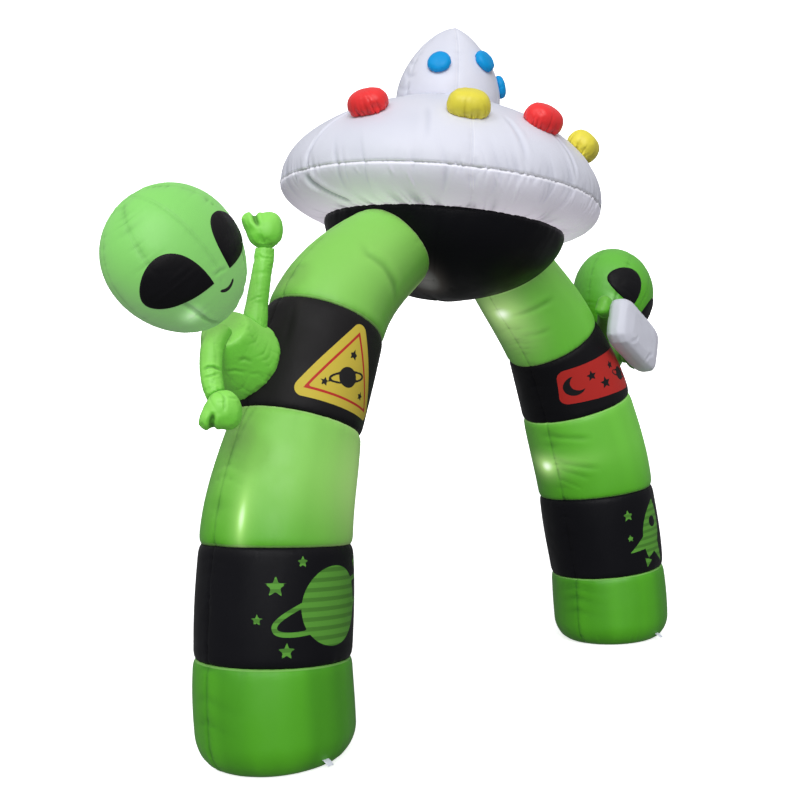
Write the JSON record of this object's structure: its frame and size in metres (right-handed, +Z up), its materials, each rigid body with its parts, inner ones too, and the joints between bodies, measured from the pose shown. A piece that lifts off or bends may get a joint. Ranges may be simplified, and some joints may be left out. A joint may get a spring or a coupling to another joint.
{
  "type": "inflatable arch",
  "caption": "Free-standing inflatable arch: two banded round legs lean in to a domed saucer, with a big-headed green figure on each leg, one waving and one holding a board.",
  "frame": {"origin": "on the ground, under the middle of the whole arch's box", "axes": "+X from the waving figure's leg to the other leg, +Z up, the front faces -Y"},
  "size_m": [3.3677, 1.4836, 3.0484],
  "materials": {
    "green": "satin",
    "black": "satin",
    "white": "satin",
    "red": "satin",
    "yellow": "satin",
    "blue": "satin"
  },
  "bodies": {
    "root": {"board": "white", "figure_left_eye_inner": "black", "figure_left_eye_outer": "black", "figure_left_hanging_arm": "green", "figure_left_hanging_hand": "green", "figure_left_head": "green", "figure_left_raised_arm": "green", "figure_left_raised_hand": "green", "figure_left_torso": "green", "figure_right_eye_inner": "black", "figure_right_eye_outer": "black", "figure_right_far_arm": "green", "figure_right_far_hand": "green", "figure_right_head": "green", "figure_right_near_arm": "green", "figure_right_near_hand": "green", "figure_right_torso": "green", "foot_tab_left": "white", "foot_tab_right": "white", "lamp_1_red": "red", "lamp_2_yellow": "yellow", "lamp_3_red": "red", "lamp_4_yellow": "yellow", "lamp_5_red": "red", "lamp_6_yellow": "yellow", "lamp_7_red": "red", "lamp_8_yellow": "yellow", "leg_left_foot": "green", "leg_left_lower_band": "black", "leg_left_middle": "green", "leg_left_top": "green", "leg_left_upper_band": "black", "leg_right_foot": "green", "leg_right_lower_band": "black", "leg_right_middle": "green", "leg_right_top": "green", "leg_right_upper_band": "black", "saucer_bowl": "black", "saucer_dome": "white", "saucer_lower": "white", "saucer_upper": "white", "window_1": "blue", "window_2": "blue", "window_3": "blue", "window_4": "blue", "window_5": "blue", "window_6": "blue"}
  },
  "joints": []
}
